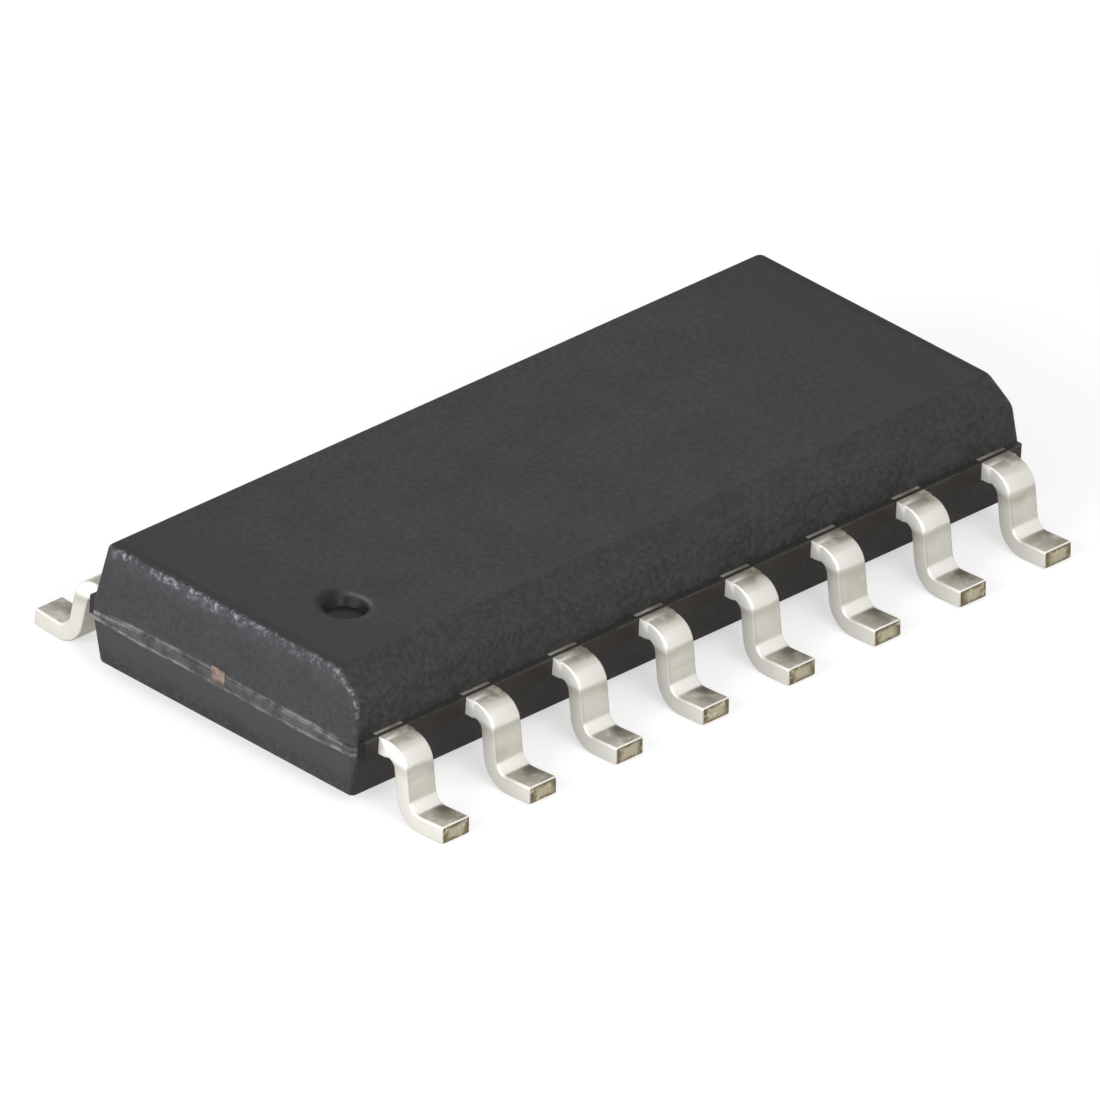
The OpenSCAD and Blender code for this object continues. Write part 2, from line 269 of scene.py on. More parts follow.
def moulded_epoxy(settings, top):
    """Black epoxy moulding compound, cast in a spark-eroded mould.

    The eye sees a matte charcoal skin with fine filler grain, a duller and paler bruise along the
    edges that have rubbed in the tube, and a glossier ledge of resin between the leads, painted darker with painted
    shade.
    """
    material, tree, output = new_material("epoxy_moulding_compound_spark_eroded")
    place, x, y, z = millimetres(tree)
    wall, end = settings.wall / MM, settings.end / MM
    lean = math.tan(settings.draft)

    # How deep a point lies under the end face, the pin 1 side and the top, in mm
    rise = maths(tree, "MAXIMUM", maths(tree, "SUBTRACT", z, top["leads"]), 0.0)
    drawn_in = maths(tree, "MULTIPLY", rise, lean)
    under_end = maths(tree, "SUBTRACT", maths(tree, "SUBTRACT", end, drawn_in), maths(tree, "ABSOLUTE", x))
    bevel = maths(tree, "MULTIPLY", maths(tree, "MAXIMUM", maths(tree, "SUBTRACT", z, top["bevel"]), 0.0), top["slope"])
    near = maths(tree, "ADD", maths(tree, "SUBTRACT", wall, drawn_in), y)
    under_side = maths(tree, "SUBTRACT", near, bevel)
    under_top = maths(tree, "SUBTRACT", top["top"], z)

    # Filler grains are about 0.05 mm; clouds of them about 0.6 mm
    fine = grain(tree, place, 16.0, 3.0, 0.6)
    cloud = grain(tree, place, 1.7, 2.0)
    speck = maths(tree, "MULTIPLY", ramp(tree, fine, 0.38, 0.66), 0.7)
    mottle = maths(tree, "ADD", speck, maths(tree, "MULTIPLY", ramp(tree, cloud, 0.3, 0.7), 0.3))
    # Cleaner and browner clouds of filler beside bluer, rubbed ones
    grains = blend(tree, ramp(tree, grain(tree, place, 1.1, 2.0), 0.35, 0.65), settings.filler, settings.filler_cold)
    skin = blend(tree, mottle, settings.resin, grains)

    # The end faces are rubbed dull, most of all just under their top edge, and their lower half is painted paler as
    # painted fill light
    on_end = ramp(tree, under_end, 0.06, 0.02)
    ragged = maths(tree, "MULTIPLY", maths(tree, "SUBTRACT", grain(tree, place, 5.0, 4.0, 0.7), 0.5), 0.18)
    off_end = maths(tree, "ADD", maths(tree, "ABSOLUTE", under_end), ragged)
    top_edge = maths(tree, "ADD", off_end, under_top)
    corner = maths(tree, "ADD", off_end, maths(tree, "ABSOLUTE", under_side))
    lower_end_painted_light = maths(tree, "MULTIPLY", ramp(tree, z, top["frame"], top["frame"] - 0.06), 0.5)
    haze = maths(tree, "ADD", 0.2, maths(tree, "MULTIPLY", ramp(tree, top_edge, 0.42, 0.02), 0.7))
    haze = maths(tree, "MAXIMUM", haze, maths(tree, "ADD", lower_end_painted_light, 0.4))
    skin = blend(tree, maths(tree, "MULTIPLY", haze, on_end), skin, settings.rubbed)

    # Bruises: fine pale chips along that edge and down the corner beside the bevel
    upper = ramp(tree, z, top["leads"], top["bevel"])
    band = maths(tree, "MAXIMUM", ramp(tree, top_edge, 0.15, 0.03), maths(tree, "MULTIPLY", ramp(tree, corner, 0.12, 0.02), upper))
    chips = ramp(tree, grain(tree, place, 14.0, 4.0, 0.75), 0.46, 0.70)
    clumps = maths(tree, "ADD", 0.45, maths(tree, "MULTIPLY", ramp(tree, grain(tree, place, 3.5, 3.0, 0.6), 0.36, 0.60), 0.55))
    bruise = maths(tree, "MULTIPLY", maths(tree, "MULTIPLY", band, on_end), maths(tree, "MULTIPLY", chips, clumps))
    skin = blend(tree, maths(tree, "MULTIPLY", bruise, 0.6), skin, settings.scuff_and_highlight)
    # A wider, bluish dusting below them
    dust = maths(tree, "MULTIPLY", ramp(tree, top_edge, 0.42, 0.08), ramp(tree, grain(tree, place, 9.0, 4.0, 0.7), 0.42, 0.68))
    skin = blend(tree, maths(tree, "MULTIPLY", maths(tree, "MULTIPLY", dust, on_end), 0.045), skin, linear("#a6a4bc"))
    # Painted shade darkens the rounding above them; the top is darker towards the ends, and a painted highlight makes
    # the bevel a little paler than the top
    polished = maths(tree, "MULTIPLY", ramp(tree, top_edge, 0.18, 0.10), ramp(tree, z, top["top"] - 0.02, top["top"] - 0.006))
    skin = blend(tree, maths(tree, "MULTIPLY", polished, 0.4), skin, settings.painted_shade)
    top_darker_towards_ends = maths(tree, "MULTIPLY", ramp(tree, under_end, 1.9, 0.4), ramp(tree, z, top["top"] - 0.02, top["top"] - 0.006))
    skin = blend(tree, maths(tree, "MULTIPLY", top_darker_towards_ends, 0.28), skin, settings.resin)
    bevel_painted_light = maths(tree, "MULTIPLY", ramp(tree, z, top["bevel"], top["bevel"] + 0.03), ramp(tree, under_side, 0.04, 0.01))
    skin = blend(tree, maths(tree, "MULTIPLY", bevel_painted_light, 0.22), skin, settings.rubbed)

    # Two powdery lines on the end faces, along both edges of the thin flash, and a paler strip between
    wobble = maths(tree, "MULTIPLY", maths(tree, "SUBTRACT", grain(tree, place, 1.3, 3.0, 0.6), 0.5), 0.06)
    height = maths(tree, "ADD", z, wobble)
    off_middle = maths(tree, "ABSOLUTE", maths(tree, "SUBTRACT", height, (top["frame"] + top["flash"]) / 2))
    # The lines run together towards the corners
    apart = maths(tree, "SUBTRACT", 1.15, maths(tree, "MULTIPLY", ramp(tree, maths(tree, "ABSOLUTE", y), 1.2, 1.9), 0.6))
    off_line = maths(tree, "ABSOLUTE", maths(tree, "SUBTRACT", off_middle, maths(tree, "MULTIPLY", apart, (top["flash"] - top["frame"]) / 2)))
    worn = maths(tree, "ADD", 0.15, maths(tree, "MULTIPLY", ramp(tree, grain(tree, place, 4.5, 4.0, 0.75), 0.38, 0.62), 0.85))
    worn = maths(tree, "MULTIPLY", worn, maths(tree, "ADD", 0.7, maths(tree, "MULTIPLY", ramp(tree, maths(tree, "ABSOLUTE", y), 0.3, 1.3), 0.3)))
    strip = maths(tree, "MULTIPLY", ramp(tree, off_middle, 0.11, 0.03), 0.22)
    upper_line = ramp(tree, height, (top["frame"] + top["flash"]) / 2, top["flash"])
    line = maths(tree, "MULTIPLY", ramp(tree, off_line, 0.045, 0.0), maths(tree, "SUBTRACT", 1.0, maths(tree, "MULTIPLY", upper_line, 0.25)))
    lines = maths(tree, "MAXIMUM", line, strip)
    past_wall = maths(tree, "SUBTRACT", maths(tree, "ABSOLUTE", y), wall)
    on_wall = maths(tree, "LESS_THAN", past_wall, 0.0)
    powder = maths(tree, "MULTIPLY", maths(tree, "MULTIPLY", lines, worn), maths(tree, "MULTIPLY", on_end, on_wall))
    skin = blend(tree, maths(tree, "MULTIPLY", powder, 0.72), skin, settings.flash)

    # Painted shade, darker and browner, on the ledge past the wall and on the walls below it, which are glossier too;
    # the ledge's top is painted paler as painted fill light, and its outer top edge gets a painted highlight
    below = maths(tree, "MULTIPLY", maths(tree, "LESS_THAN", z, top["leads"]), ramp(tree, past_wall, -0.14, -0.10))
    lower = maths(tree, "MULTIPLY", below, ramp(tree, under_end, 0.03, 0.12))
    past = ramp(tree, past_wall, 0.0, 0.02)
    skin = blend(tree, lower, skin, settings.shaded)
    skin = blend(tree, past, skin, settings.ledge)
    # Painted fill light: the ledge's top is painted paler
    on_top = maths(tree, "MULTIPLY", past, ramp(tree, z, top["leads"] - 0.012, top["leads"] - 0.002))
    skin = blend(tree, maths(tree, "MULTIPLY", on_top, 0.5), skin, settings.filler)
    # Painted shade at the ledge's ends by the corners
    ledge_end = maths(tree, "MULTIPLY", past, ramp(tree, under_end, 0.075, 0.05))
    skin = blend(tree, ledge_end, skin, settings.painted_shade)
    # Painted highlight along the ledge's outer top edge
    rim = maths(tree, "MULTIPLY", ramp(tree, past_wall, top["ledge"] - 0.03, top["ledge"]), ramp(tree, z, top["leads"] - 0.03, top["leads"]))
    rim = maths(tree, "MULTIPLY", rim, ramp(tree, grain(tree, place, 2.2, 4.0, 0.7), 0.30, 0.62))
    skin = blend(tree, maths(tree, "MULTIPLY", rim, 0.07), skin, settings.scuff_and_highlight)

    # The pin 1 dimple is polished and painted dark as painted shade, with a painted shadow on the +Y side of its dished
    # rim; the rim is rubbed pale in places, with a painted highlight in an arc on its +X side
    from_dimple = add(tree, "VectorMath", {"operation": "DISTANCE"}, i0=place, i1=top["dimple"]).outputs["Value"]
    radius = settings.dimple / MM
    painted_shade = ramp(tree, from_dimple, radius + 0.03, radius - 0.01)
    ring = maths(tree, "MULTIPLY", ramp(tree, from_dimple, radius + 0.15, radius + 0.09), ramp(tree, grain(tree, place, 3.0), 0.35, 0.6))
    skin = blend(tree, maths(tree, "MULTIPLY", ring, 0.5), skin, settings.rubbed)
    east = maths(tree, "SUBTRACT", x, top["dimple"][0])
    north = maths(tree, "SUBTRACT", y, top["dimple"][1])
    shade = maths(tree, "MULTIPLY", ramp(tree, from_dimple, radius + 0.13, radius + 0.05), ramp(tree, maths(tree, "SUBTRACT", north, east), 0.02, 0.16))
    skin = blend(tree, maths(tree, "MULTIPLY", shade, 0.75), skin, settings.painted_shade)
    dimple_rim_highlight = maths(tree, "MULTIPLY", ramp(tree, from_dimple, radius + 0.07, radius + 0.03), ramp(tree, east, 0.17, 0.27))
    skin = blend(tree, maths(tree, "MULTIPLY", dimple_rim_highlight, 0.12), skin, settings.scuff_and_highlight)
    skin = blend(tree, painted_shade, skin, settings.painted_shade)
    glossy = maths(tree, "MAXIMUM", maths(tree, "MAXIMUM", past, lower), painted_shade)

    roughness = maths(tree, "SUBTRACT", maths(tree, "ADD", 0.54, maths(tree, "MULTIPLY", mottle, 0.14)), maths(tree, "MULTIPLY", glossy, 0.18))
    relief = maths(tree, "ADD", fine, maths(tree, "MULTIPLY", grain(tree, place, 34.0, 2.0), 0.5))
    relief = maths(tree, "ADD", relief, maths(tree, "MAXIMUM", maths(tree, "MULTIPLY", bruise, 0.8), powder))
    bump = add(tree, "Bump", Strength=0.35, Distance=0.006 * MM, Height=relief)
    shader = add(tree, "BsdfPrincipled", Base_Color=skin, Roughness=roughness, IOR=1.5, Specular_IOR_Level=0.2, Normal=bump.outputs[0])
    tree.links.new(shader.outputs[0], output.inputs["Surface"])
    return material


def tin_plate(settings):
    """Matte tin, electroplated over stamped and bent copper alloy.

    The eye sees a warm grey metal with soft reflections, fine crystal grain and faint rub marks.
    """
    material, tree, output = new_material("matte_tin_electroplated")
    place, x, y, z = millimetres(tree)
    # Plated crystals are too fine for the eye, so they are drawn 0.04 mm wide
    crystals = grain(tree, place, 22.0, 3.0, 0.6)
    cloud = grain(tree, place, 2.6, 2.0)
    # Rub marks from the bending punch run across the lead, so they are long in x
    across = add(tree, "Mapping", Vector=place, Scale=(1.2, 9.0, 9.0)).outputs[0]
    rub = ramp(tree, grain(tree, across, 1.0, 3.0, 0.6), 0.48, 0.78)
    stain = maths(tree, "MULTIPLY", ramp(tree, cloud, 0.45, 0.75), 0.35)
    tint = blend(tree, stain, settings.tin, linear("#a8a292"))
    tint = blend(tree, maths(tree, "MULTIPLY", rub, 0.22), tint, linear("#8b867b"))
    # The stamped sides are smoother and brighter, with a painted highlight that whitens them towards the top; painted
    # shade dims the rolled edges' highlight, and the upward faces get a painted reflection of the dark moulding,
    # strongest on each lead's +X side
    facing = add(tree, "SeparateXYZ", i0=add(tree, "TexCoord").outputs["Normal"])
    sheared = blend(tree, ramp(tree, z, 0.60, 0.76), settings.side, linear("#fdfcf9"))
    sideways = maths(tree, "ABSOLUTE", facing.outputs["X"])
    edge_painted_shade = maths(tree, "MULTIPLY", ramp(tree, sideways, 0.10, 0.35), ramp(tree, sideways, 0.97, 0.80))
    tint = blend(tree, maths(tree, "MULTIPLY", edge_painted_shade, 0.45), tint, linear("#8f8c84"))
    tint = blend(tree, ramp(tree, sideways, 0.7, 0.95), tint, sheared)
    upward_painted_reflection = maths(tree, "MULTIPLY", ramp(tree, facing.outputs["Z"], 0.90, 0.99), ramp(tree, grain(tree, place, 6.0, 3.0, 0.6), 0.25, 0.6))
    pitch = settings.pitch / MM
    local = maths(tree, "SUBTRACT", maths(tree, "FLOORED_MODULO", x, pitch), pitch / 2)
    one_side = maths(tree, "ADD", 0.55, maths(tree, "MULTIPLY", ramp(tree, local, -0.16, 0.08), 0.45))
    tint = blend(tree, maths(tree, "MULTIPLY", upward_painted_reflection, one_side), tint, settings.upward_painted_reflection)
    # Painted highlight on the heel bend, and a painted reflection of the dark moulding as a dark spot at one end of it
    low = ramp(tree, z, 0.50, 0.40)
    heel = maths(tree, "MULTIPLY", ramp(tree, facing.outputs["Z"], 0.20, 0.45), ramp(tree, facing.outputs["Z"], 0.985, 0.93))
    tint = blend(tree, maths(tree, "MULTIPLY", maths(tree, "MULTIPLY", heel, low), 0.8), tint, linear("#efede7"))
    out = maths(tree, "ABSOLUTE", y)
    dark_spot_reflection = maths(tree, "MULTIPLY", ramp(tree, local, 0.0, 0.14), maths(tree, "MULTIPLY", ramp(tree, out, 2.80, 2.70), ramp(tree, out, 2.58, 2.64)))
    tint = blend(tree, maths(tree, "MULTIPLY", maths(tree, "MULTIPLY", dark_spot_reflection, low), 0.7), tint, linear("#5f5b52"))
    # Painted highlight on the upper bend, and painted shade in a ragged band on the leg below it
    crest_highlight = maths(tree, "MULTIPLY", ramp(tree, z, 0.65, 0.70), ramp(tree, facing.outputs["Z"], 0.93, 0.75))
    tint = blend(tree, maths(tree, "MULTIPLY", crest_highlight, 0.7), tint, linear("#e8e6df"))
    ragged = maths(tree, "ADD", z, maths(tree, "MULTIPLY", maths(tree, "SUBTRACT", cloud, 0.5), 0.2))
    leg_shade = maths(tree, "MULTIPLY", ramp(tree, ragged, 0.50, 0.64), ramp(tree, ragged, 0.69, 0.64))
    tint = blend(tree, maths(tree, "MULTIPLY", leg_shade, 0.42), tint, linear("#989386"))
    roughness = maths(tree, "ADD", 0.32, maths(tree, "MULTIPLY", crystals, 0.2))
    bump = add(tree, "Bump", Strength=0.25, Distance=0.003 * MM, Height=crystals)
    # The crystals scatter some of the light as a matte skin does, so the metal is not all mirror
    shader = add(tree, "BsdfPrincipled", Base_Color=tint, Metallic=0.4, Roughness=roughness, Normal=bump.outputs[0])
    tree.links.new(shader.outputs[0], output.inputs["Surface"])
    return material


def sheared_tip(settings, z_mid, height):
    """Copper alloy sheared through after plating, so the cut face is bare and tarnished.

    The eye sees a tan face, paler in the middle and brown along its rim.
    """
    material, tree, output = new_material("copper_alloy_sheared")
    place, x, y, z = millimetres(tree)
    pitch, half = settings.pitch / MM, settings.width / MM / 2
    along = maths(tree, "ABSOLUTE", maths(tree, "SUBTRACT", maths(tree, "FLOORED_MODULO", x, pitch), pitch / 2))
    sideways = maths(tree, "DIVIDE", along, half)
    upwards = maths(tree, "DIVIDE", maths(tree, "ABSOLUTE", maths(tree, "SUBTRACT", z, z_mid)), height / 2)
    ragged = maths(tree, "MULTIPLY", maths(tree, "SUBTRACT", grain(tree, place, 9.0, 3.0, 0.6), 0.5), 0.7)
    rim = maths(tree, "ADD", maths(tree, "MAXIMUM", sideways, upwards), ragged)
    tint = blend(tree, ramp(tree, rim, 0.35, 0.85), settings.tip, linear("#6b5d45"))
    tint = blend(tree, maths(tree, "MULTIPLY", ramp(tree, grain(tree, place, 14.0, 2.0), 0.55, 0.7), 0.6), tint, linear("#d9cdb6"))
    bump = add(tree, "Bump", Strength=0.5, Distance=0.006 * MM, Height=grain(tree, place, 16.0, 3.0, 0.6))
    shader = add(tree, "BsdfPrincipled", Base_Color=tint, Metallic=0.75, Roughness=0.5, Normal=bump.outputs[0])
    tree.links.new(shader.outputs[0], output.inputs["Surface"])
    return material


def copper_alloy():
    """Bare stamped copper alloy of the die paddle, cut off at its tie bars.

    The eye sees a dull pink end of metal, browner at its rim.
    """
    material, tree, output = new_material("copper_alloy_stamped")
    place, x, y, z = millimetres(tree)
    patches = ramp(tree, grain(tree, place, 9.0, 3.0, 0.6), 0.42, 0.62)
    tint = blend(tree, patches, linear("#69564e"), linear("#917d76"))
    smeared = ramp(tree, z, 0.76, 0.71)
    tint = blend(tree, maths(tree, "MULTIPLY", smeared, 0.75), tint, linear("#4c4640"))
    bump = add(tree, "Bump", Strength=0.4, Distance=0.004 * MM, Height=grain(tree, place, 20.0, 3.0))
    shader = add(tree, "BsdfPrincipled", Base_Color=tint, Metallic=0.6, Roughness=0.5, Normal=bump.outputs[0])
    tree.links.new(shader.outputs[0], output.inputs["Surface"])
    return material


def silver_epoxy():
    """Silver-filled epoxy that was dispensed and cured: a dull grey with bright flakes."""
    material, tree, output = new_material("silver_filled_epoxy_cured")
    place, x, y, z = millimetres(tree)
    flakes = ramp(tree, grain(tree, place, 40.0, 2.0), 0.5, 0.62)
    tint = blend(tree, flakes, linear("#8f8c84"), linear("#d6d3cb"))
    shader = add(tree, "BsdfPrincipled", Base_Color=tint, Metallic=0.5, Roughness=0.5)
    tree.links.new(shader.outputs[0], output.inputs["Surface"])
    return material


def silicon(z_pads):
    """Sawn and polished silicon: blue-grey and mirror-like on top, ground dull on its sawn sides."""
    material, tree, output = new_material("silicon_polished_and_sawn")
    place, x, y, z = millimetres(tree)
    face = ramp(tree, z, z_pads - 0.02, z_pads - 0.005)
    tint = blend(tree, face, linear("#3b4047"), linear("#5c6573"))
    saw = grain(tree, add(tree, "Mapping", Vector=place, Scale=(2.0, 2.0, 60.0)).outputs[0], 1.0, 2.0)
    roughness = maths(tree, "ADD", maths(tree, "SUBTRACT", 0.5, maths(tree, "MULTIPLY", face, 0.35)), maths(tree, "MULTIPLY", saw, 0.1))
    shader = add(tree, "BsdfPrincipled", Base_Color=tint, Metallic=0.8, Roughness=roughness)
    tree.links.new(shader.outputs[0], output.inputs["Surface"])
    return material


def gold_wire():
    """Drawn gold wire: a bright yellow metal with faint drawing lines."""
    material, tree, output = new_material("gold_wire_drawn")
    place, x, y, z = millimetres(tree)
    lines = grain(tree, place, 30.0, 2.0)
    tint = blend(tree, lines, linear("#d9ad45"), linear("#f0cd74"))
    roughness = maths(tree, "ADD", 0.18, maths(tree, "MULTIPLY", lines, 0.1))
    shader = add(tree, "BsdfPrincipled", Base_Color=tint, Metallic=1.0, Roughness=roughness)
    tree.links.new(shader.outputs[0], output.inputs["Surface"])
    return material


def studio_floor(material_name, brightness):
    """Matte white paper: lit by the lamps, so it keeps the shadow, and topped up to white for the eye."""
    material, tree, output = new_material(material_name)
    rays = add(tree, "LightPath").outputs
    seen = maths(tree, "MAXIMUM", maths(tree, "MAXIMUM", rays["Is Camera Ray"], rays["Is Glossy Ray"]), rays["Is Transmission Ray"])
    paper = add(tree, "BsdfDiffuse", Color=linear("#c8c8c8"))
    glow = add(tree, "Emission", Color=(1, 1, 1, 1), Strength=maths(tree, "MULTIPLY", seen, brightness))
    both = add(tree, "AddShader", i0=paper.outputs[0], i1=glow.outputs[0])
    tree.links.new(both.outputs[0], output.inputs["Surface"])
    return material


# ---- Pieces ----


class CHIP_OT_moulding(bpy.types.Operator):
    """Finish the moulding: welded, shaded round over its small radii and given its resin"""

    bl_idname = "chip.moulding"
    bl_label = "Moulding"

    def execute(self, context):
        settings = context.scene.chip_moulding
        node = frame["nodes"]["body"]
        select_only(node)
        piece = node.copy()
        piece.data = node.data.copy()
        piece.name = piece.data.name = "moulding"
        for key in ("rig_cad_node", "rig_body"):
            del piece[key]
        piece.parent = None
        context.collection.objects.link(piece)
        select_only(piece)
        bpy.ops.object.mode_set(mode="EDIT")
        bpy.ops.mesh.select_all(action="SELECT")
        bpy.ops.mesh.remove_doubles(threshold=2e-7)
        bpy.ops.mesh.dissolve_limited(angle_limit=math.radians(0.05))
        bpy.ops.object.mode_set(mode="OBJECT")
        bpy.ops.object.shade_smooth_by_angle(angle=settings.smooth)
        weigh_normals(piece)
        top = {
            "leads": 0.88,
            "frame": 0.68,
            "flash": 0.80,
            "ledge": 0.09,
            "bevel": 1.29,
            "top": 1.55,
            "slope": 0.32 / 0.26,
            "dimple": (-3.81, -0.645, 1.55),
        }
        finish_piece(piece, "body", "mould_compound", moulded_epoxy(settings, top))
        return {"FINISHED"}


def turn(value, centre, axis="X"):
    """Turns the selection about a point; with no window the angle's sign is the other way round."""
    bpy.ops.transform.rotate(value=-value, orient_axis=axis, orient_type="GLOBAL", center_override=centre)


def extrude_by(step):
    bpy.ops.mesh.extrude_region_move(TRANSFORM_OT_translate={"value": step})


def gull_wing(settings, wall, thickness, z_mid):
    """One lead of the -Y side at x = 0, from its neck to its cut tip, drawn out of its own cross-section."""
    neck_y = settings.neck - wall
    lean, rise = settings.lean, settings.rise
    r_top = settings.top_radius + thickness / 2
    r_heel = settings.heel_radius + thickness / 2
    down = math.pi / 2 - lean

    select_only(frame["nodes"]["body"])
    bpy.ops.object.select_all(action="DESELECT")
    bpy.ops.mesh.primitive_plane_add(size=1, location=(0, neck_y, z_mid), rotation=(math.pi / 2, 0, 0))
    lead = bpy.context.object
    lead.name = lead.data.name = "gull_wing"
    lead.scale = (settings.width, thickness, 1)
    apply_place(lead)
    bpy.ops.object.mode_set(mode="EDIT")
    bpy.ops.mesh.select_mode(type="FACE")
    bpy.ops.mesh.select_all(action="SELECT")

    # Out of the wall, past the ledge and along the shoulder
    extrude_by((0, -settings.neck - settings.ledge, 0))
    extrude_by((0, settings.ledge - settings.shoulder, 0))
    # Down over the upper bend
    y = -wall - settings.shoulder
    bpy.ops.mesh.spin(
        steps=settings.bend_steps, angle=-down, center=(0, y, z_mid - r_top), axis=(1, 0, 0), use_auto_merge=False
    )
    # The straight leg is as long as sets the heel on the seating plane
    leg = (z_mid - r_top * (1 - math.cos(down)) + r_heel * math.cos(down) - r_heel - thickness / 2) / math.sin(down)
    extrude_by((0, -leg * math.cos(down), -leg * math.sin(down)))
    # Out again round the heel, past level by the foot's rise
    heel_y = y - (r_top + r_heel) * math.sin(down) - leg * math.cos(down)
    bpy.ops.mesh.spin(
        steps=settings.bend_steps,
        angle=down + rise,
        center=(0, heel_y, r_heel + thickness / 2),
        axis=(1, 0, 0),
        use_auto_merge=False,
    )
    # And along the foot until the cut's lower corner is at the span
    start = heel_y - r_heel * math.sin(rise)
    run = (settings.span / 2 + start - thickness / 2 * math.sin(rise)) / math.cos(rise)
    extrude_by((0, -run * math.cos(rise), run * math.sin(rise)))

    bpy.ops.mesh.select_all(action="SELECT")
    bpy.ops.mesh.normals_make_consistent(inside=False)
    bpy.ops.object.mode_set(mode="OBJECT")
    cut_groove(lead, settings, wall, z_mid + thickness / 2)

    # The stamping punch rolls the long edges and the cut rounds its own rim
    bpy.ops.object.mode_set(mode="EDIT")
    ledge_y = -wall - settings.ledge - 1e-6
    pick(
        lead,
        "EDGE",
        lambda e: e.is_manifold and e.calc_face_angle(0) > 0.6 and all(v.co.y < ledge_y for v in e.verts),
    )
    bpy.ops.mesh.bevel(offset=settings.edge, segments=3, affect="EDGES", clamp_overlap=True)
    bpy.ops.object.mode_set(mode="OBJECT")
    return lead


def cut_groove(lead, settings, wall, z_top):
    """Cuts the shallow groove across the lead's top that the resin of the ledge locks into."""
    depth, width = settings.groove_depth, settings.groove_width
    bpy.ops.mesh.primitive_cube_add(size=1, location=(0, -wall - settings.ledge + width / 2, z_top))
    cutter = bpy.context.object
    cutter.scale = (2 * settings.width, width, 2 * depth)
    apply_place(cutter)
    select_only(lead)
    bpy.ops.object.modifier_add(type="BOOLEAN")
    cut = lead.modifiers[-1]
    cut.object = cutter
    cut.operation = "DIFFERENCE"
    cut.solver = "EXACT"
    bpy.ops.object.modifier_apply(modifier=cut.name)
    bpy.data.objects.remove(cutter)


def finger_route(column, settings, wall):
    """Plan of a finger inside the moulding, from the neck's end inwards, for a quarter in +X and +Y."""
    mm = lambda *p: tuple(v * MM for v in p)
    x = (SIDE_PINS / 2 + 0.5 - column) * settings.pitch
    neck = (x, wall - settings.neck)
    ends = {
        1: [(x - settings.pitch, 0.41 * MM + settings.finger / 3), mm(1.87, 0.41)],
        2: [(1.87 * MM, 0.9 * MM - settings.finger / 2)],
        3: [(1.65 * MM - settings.finger, 1.12 * MM)],
        4: [(x - settings.finger / 2, 1.12 * MM)],
    }
    return [neck] + ends[column]


class CHIP_OT_leads(bpy.types.Operator):
    """Model one gull-wing lead, copy it to all places and draw each one's finger into the moulding"""

    bl_idname = "chip.leads"
    bl_label = "Leads"

    def execute(self, context):
        settings = context.scene.chip_leads
        wall = context.scene.chip_moulding.wall
        low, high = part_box("lead_1")
        thickness = 0.2 * MM
        z_mid = high.z - thickness / 2
        pattern = gull_wing(settings, wall, thickness, z_mid)
        tin = tin_plate(settings)
        cut = sheared_tip(settings, 0.124, thickness / MM)
        for pin in range(1, PINS + 1):
            side_pin = pin if pin <= SIDE_PINS else pin - SIDE_PINS
            column = min(side_pin, SIDE_PINS + 1 - side_pin)
            end = -1 if side_pin <= SIDE_PINS / 2 else 1
            lead = pattern.copy()
            lead.data = pattern.data.copy()
            lead.name = lead.data.name = f"gull_wing_{pin}"
            context.collection.objects.link(lead)
            select_only(lead)
            x = end * (SIDE_PINS / 2 + 0.5 - column) * settings.pitch
            bpy.ops.transform.translate(value=(x, 0, 0))
            apply_place(lead)
            self.draw_finger(lead, [(end * p[0], -p[1]) for p in finger_route(column, settings, wall)], settings)
            if pin > SIDE_PINS:
                select_only(lead)
                lead.rotation_euler.z = math.pi
                apply_place(lead)
            lead.data.materials.clear()
            finish_piece(lead, f"lead_{pin}", "tin_plate", tin, cut)
            reach = settings.span / 2 - 0.03 * MM
            for f in lead.data.polygons:
                on_tip = abs(f.normal.y) > 0.9 and abs(f.center.y) > reach
                f.material_index = 1 if on_tip else 0
            select_only(lead)
            bpy.ops.object.shade_smooth_by_angle(angle=math.radians(40))
            weigh_normals(lead)
        bpy.data.objects.remove(pattern)
        return {"FINISHED"}

    def draw_finger(self, lead, route, settings):
        """Narrows the neck's inner end and extrudes it along the route, mitred at each turn."""
        select_only(lead)
        bpy.ops.object.mode_set(mode="EDIT")
        pick(lead, "FACE", lambda f: f.normal.y > 0.9 and abs(middle(f).y - route[0][1]) < 1e-6)
        z = route_z = middle(next(f for f in bmesh.from_edit_mesh(lead.data).faces if f.select)).z
        extrude_by((0, 0, 0))
        bpy.ops.transform.resize(
            value=(settings.finger / settings.width, 1, 1), center_override=(route[0][0], route[0][1], z)
        )
        points = [Vector((p[0], p[1], z)) for p in route]
        facing = Vector((0, 1, 0))
        for k in range(1, len(points)):
            here, there = points[k - 1], points[k]
            extrude_by(there - here)
            way = (there - here).normalized()
            ahead = (points[k + 1] - there).normalized() if k + 1 < len(points) else way
            square = (way + ahead).normalized()
            angle = facing.to_2d().angle_signed(square.to_2d())
            turn(-angle, there, "Z")
            facing = square
        bpy.ops.mesh.select_all(action="SELECT")
        bpy.ops.mesh.normals_make_consistent(inside=False)
        bpy.ops.object.mode_set(mode="OBJECT")


class CHIP_OT_inside(bpy.types.Operator):
    """Give the die paddle, the die and its wires their metals"""

    bl_idname = "chip.inside"
    bl_label = "Inside"

    def execute(self, context):
        z_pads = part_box("die")[1].z / MM
        finishes = {"die_paddle": copper_alloy(), "die_attach": silver_epoxy(), "die": silicon(z_pads)}
        gold = gold_wire()
        finishes.update({f"bond_wire_{pin}": gold for pin in range(1, PINS + 1)})
        for name, material in finishes.items():
            slots = frame["nodes"][name].material_slots
            for s in slots:
                s.material = material
            if not slots:
                raise RuntimeError(f"{name} has no material slot")
        return {"FINISHED"}


